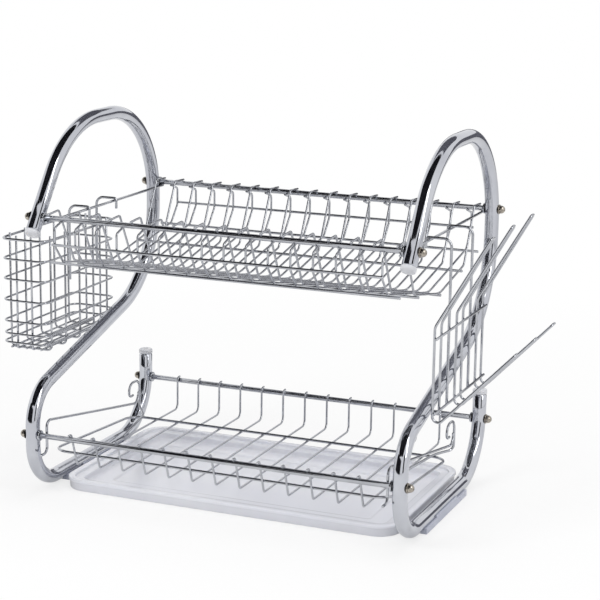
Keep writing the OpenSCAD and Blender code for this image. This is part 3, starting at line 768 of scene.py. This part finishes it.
reach = prong_pitch + leg_half + 3
wires("cup_panel_bars", [straight((bar_x, panel_mid - reach, z), (bar_x, panel_mid + reach, z)) for z in bar_zs],
      2 * prong_r, wire_chrome, *HOLDER, ["holder_cross_bars"], sides=20)
holder_hook_x = bar_x - prong_r - long_r - touch
holder_hook_ys = [panel_mid + part * prong_pitch for part in (-0.5, 0.5)]
wires("cup_holder_hooks", [side_hook(1, holder_hook_x, bar_zs[1] - 3, y) for y in holder_hook_ys], 2 * long_r,
      wire_chrome, *HOLDER, ["holder_hooks"], sides=20)
holder_points = [(panel_x + prong_r, panel_mid + i * prong_pitch + s * leg_half, z)
                 for i in (-1, 0, 1) for s in (-1, 1) for z in bar_zs]
holder_points += [(bar_x - prong_r, y, z) for y in holder_hook_ys for z in bar_zs]
welds("cup_holder_spot_welds", holder_points, *HOLDER, radius=1.25, seed=13)

# ---- floor, light and camera -----------------------------------------------------------------------


def seen_directly(tree):
    """1 for rays from the camera, from a mirror or through a clear body, else 0."""
    path = put(tree, "ShaderNodeLightPath")
    either = put(tree, "ShaderNodeMath", {0: path.outputs["Is Camera Ray"], 1: path.outputs["Is Glossy Ray"]},
                 operation="MAXIMUM")
    return put(tree, "ShaderNodeMath", {0: either.outputs[0], 1: path.outputs["Is Transmission Ray"]},
               operation="MAXIMUM").outputs[0]


floor_paint, tree = new_material("matt_white_floor")
plain = put(tree, "ShaderNodeBsdfDiffuse", {"Color": srgb("#F2F2F2")})
glow = put(tree, "ShaderNodeEmission", {"Color": (1, 1, 1, 1), "Strength": 1.0})
spot = put(tree, "ShaderNodeVectorMath", {0: put(tree, "ShaderNodeTexCoord").outputs["Object"]}, operation="LENGTH")
fade = put(tree, "ShaderNodeMapRange", {"Value": spot.outputs["Value"], "From Min": 0.35, "From Max": 1.1,
                                        "To Min": 0.72, "To Max": 1.0})
path = put(tree, "ShaderNodeLightPath")
mirrored = put(tree, "ShaderNodeMath", {0: path.outputs["Is Glossy Ray"], 1: path.outputs["Is Transmission Ray"]},
               operation="MAXIMUM")
dimmed = put(tree, "ShaderNodeMath", {0: mirrored.outputs[0], 1: 0.28}, operation="MULTIPLY")
either = put(tree, "ShaderNodeMath", {0: path.outputs["Is Camera Ray"], 1: dimmed.outputs[0]}, operation="MAXIMUM")
share = put(tree, "ShaderNodeMath", {0: either.outputs[0], 1: fade.outputs[0]}, operation="MULTIPLY")
close_material(tree, put(tree, "ShaderNodeMixShader", {0: share.outputs[0], 1: plain.outputs[0], 2: glow.outputs[0]}))

card_paint, tree = new_material("black_studio_card")
close_material(tree, put(tree, "ShaderNodeBsdfDiffuse", {"Color": srgb("#26262A")}))
grey_card_paint, tree = new_material("grey_studio_card")
close_material(tree, put(tree, "ShaderNodeBsdfDiffuse", {"Color": srgb("#77777F")}))


def flat_panel(name, corners, material):
    mesh = bpy.data.meshes.new(name)
    mesh.from_pydata([Vector(c) for c in corners], [], [(0, 1, 2, 3)])
    mesh.materials.append(material)
    panel = bpy.data.objects.new(name, mesh)
    scene.collection.objects.link(panel)
    return panel


flat_panel("studio_floor", [(-8, -8, -0.0004), (8, -8, -0.0004), (8, 8, -0.0004), (-8, 8, -0.0004)], floor_paint)


def mirror_card(name, corners, material):
    """A card that only mirrors see."""
    card = flat_panel(name, corners, material)
    card.visible_camera = card.visible_diffuse = card.visible_shadow = card.visible_transmission = False


def standing_card(name, azimuths, heights, material, distance=3.2):
    """A card that stands round the rack between two azimuths in degrees, 0 in front and 90 on the right."""
    one, two = [(math.sin(math.radians(a)) * distance, -math.cos(math.radians(a)) * distance) for a in azimuths]
    low, high = heights
    mirror_card(name, [(*one, low), (*two, low), (*two, high), (*one, high)], material)


standing_card("card_left", (-66, 10), (0.0, 1.6), card_paint)
standing_card("card_right", (42, 58), (0.0, 2.0), card_paint)
standing_card("card_back", (148, 205), (0.0, 0.8), grey_card_paint)
mirror_card("card_over_front", [(-3.4, 1.0, 2.6), (-3.4, -3.6, 2.6), (1.7, -3.6, 2.6), (0.9, 1.0, 2.6)], card_paint)
mirror_card("card_over_back", [(-1.6, 1.2, 2.5), (1.2, 1.2, 2.5), (1.2, 2.8, 1.9), (-1.6, 2.8, 1.9)], grey_card_paint)

world = bpy.data.worlds.new("studio")
scene.world = world
world.use_nodes = True
tree = world.node_tree
tree.nodes.clear()
soft = put(tree, "ShaderNodeBackground", {"Color": srgb("#FFFFFF"), "Strength": 0.5})
white = put(tree, "ShaderNodeBackground", {"Color": (1, 1, 1, 1), "Strength": 1.0})
sky = put(tree, "ShaderNodeMixShader", {0: seen_directly(tree), 1: soft.outputs[0], 2: white.outputs[0]})
put(tree, "ShaderNodeOutputWorld", {"Surface": sky.outputs[0]})


def softbox(name, place, size, power, mirrored=True):
    """An area lamp aimed at the rack; one that isn't mirrored leaves no patch of light in the chrome."""
    light = bpy.data.lights.new(name, "AREA")
    light.shape, light.size, light.size_y, light.energy = "RECTANGLE", size[0], size[1], power
    lamp = bpy.data.objects.new(name, light)
    lamp.location = place
    lamp.rotation_euler = (Vector((0, 0, 0.2)) - Vector(place)).to_track_quat("-Z", "Y").to_euler()
    lamp.visible_glossy = mirrored
    scene.collection.objects.link(lamp)


softbox("key_light", (-1.4, -1.9, 2.3), (1.4, 1.4), 34, mirrored=False)
softbox("strip_light", (2.1, -0.75, 1.9), (0.5, 2.2), 18)
softbox("top_light", (0.2, 0.6, 2.8), (1.6, 1.6), 26, mirrored=False)

yaw, pitch, roll = math.radians(22.34), math.radians(12.88), math.radians(0.81)
ahead = Vector((-math.sin(yaw) * math.cos(pitch), math.cos(yaw) * math.cos(pitch), -math.sin(pitch)))
level = Vector((math.cos(yaw), math.sin(yaw), 0))
above = level.cross(ahead)
right = level * math.cos(roll) + above * math.sin(roll)
up = above * math.cos(roll) - level * math.sin(roll)
lens = bpy.data.cameras.new("camera")
lens.sensor_width, lens.lens = 36, 109.86
lens.clip_start, lens.clip_end = 0.05, 60
camera = bpy.data.objects.new("camera", lens)
camera.matrix_world = Matrix((right, up, -ahead)).transposed().to_4x4()
camera.location = (0.793, -1.818, 0.670)
scene.collection.objects.link(camera)
scene.camera = camera

scene.view_settings.view_transform = "Standard"

bpy.context.view_layer.update()
